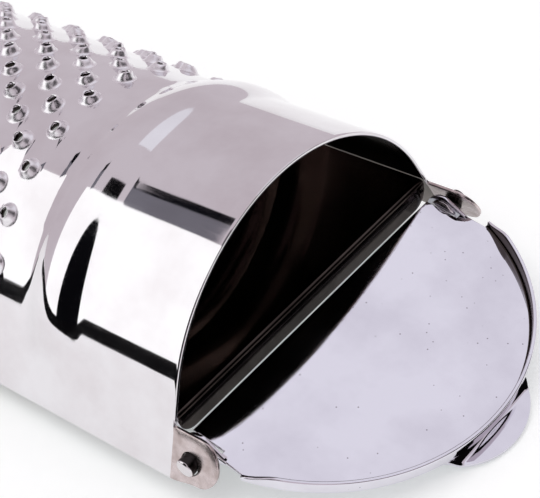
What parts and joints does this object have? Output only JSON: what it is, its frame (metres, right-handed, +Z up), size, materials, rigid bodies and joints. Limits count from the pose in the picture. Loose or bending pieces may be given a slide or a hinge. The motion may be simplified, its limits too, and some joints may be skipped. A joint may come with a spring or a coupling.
{
  "type": "hand grater",
  "caption": "Half-round stainless hand grater with punched burr teeth and a spice compartment behind a hinged D-shaped lid.",
  "frame": {"origin": "middle of the open end, on the plane of the two long bottom edges", "axes": "+X out of the open end along the body, +Y across it, +Z up through the crown of the arch"},
  "size_m": [0.162, 0.046, 0.0255],
  "materials": {
    "polished_sheet": "mirror polished stainless sheet",
    "inner_sheet": "bright rolled stainless sheet",
    "lid_sheet": "lightly satin stainless sheet with fine scratches",
    "pin_wire": "drawn stainless wire"
  },
  "bodies": {
    "grater_body": {"grater_shell": "polished_sheet", "storage_floor": "inner_sheet", "storage_partition": "inner_sheet"},
    "lid": {"lid_plate": "lid_sheet", "lid_thumb_tab": "lid_sheet", "hinge_pin_near": "pin_wire", "hinge_pin_far": "pin_wire"}
  },
  "joints": [
    {"name": "lid_hinge", "type": "hinge", "parent": "grater_body", "child": "lid", "pos_m": [0.0023, 0, 0.0024], "axis": [0, 1, 0], "range_deg": [-103.5, 76.5]}
  ]
}
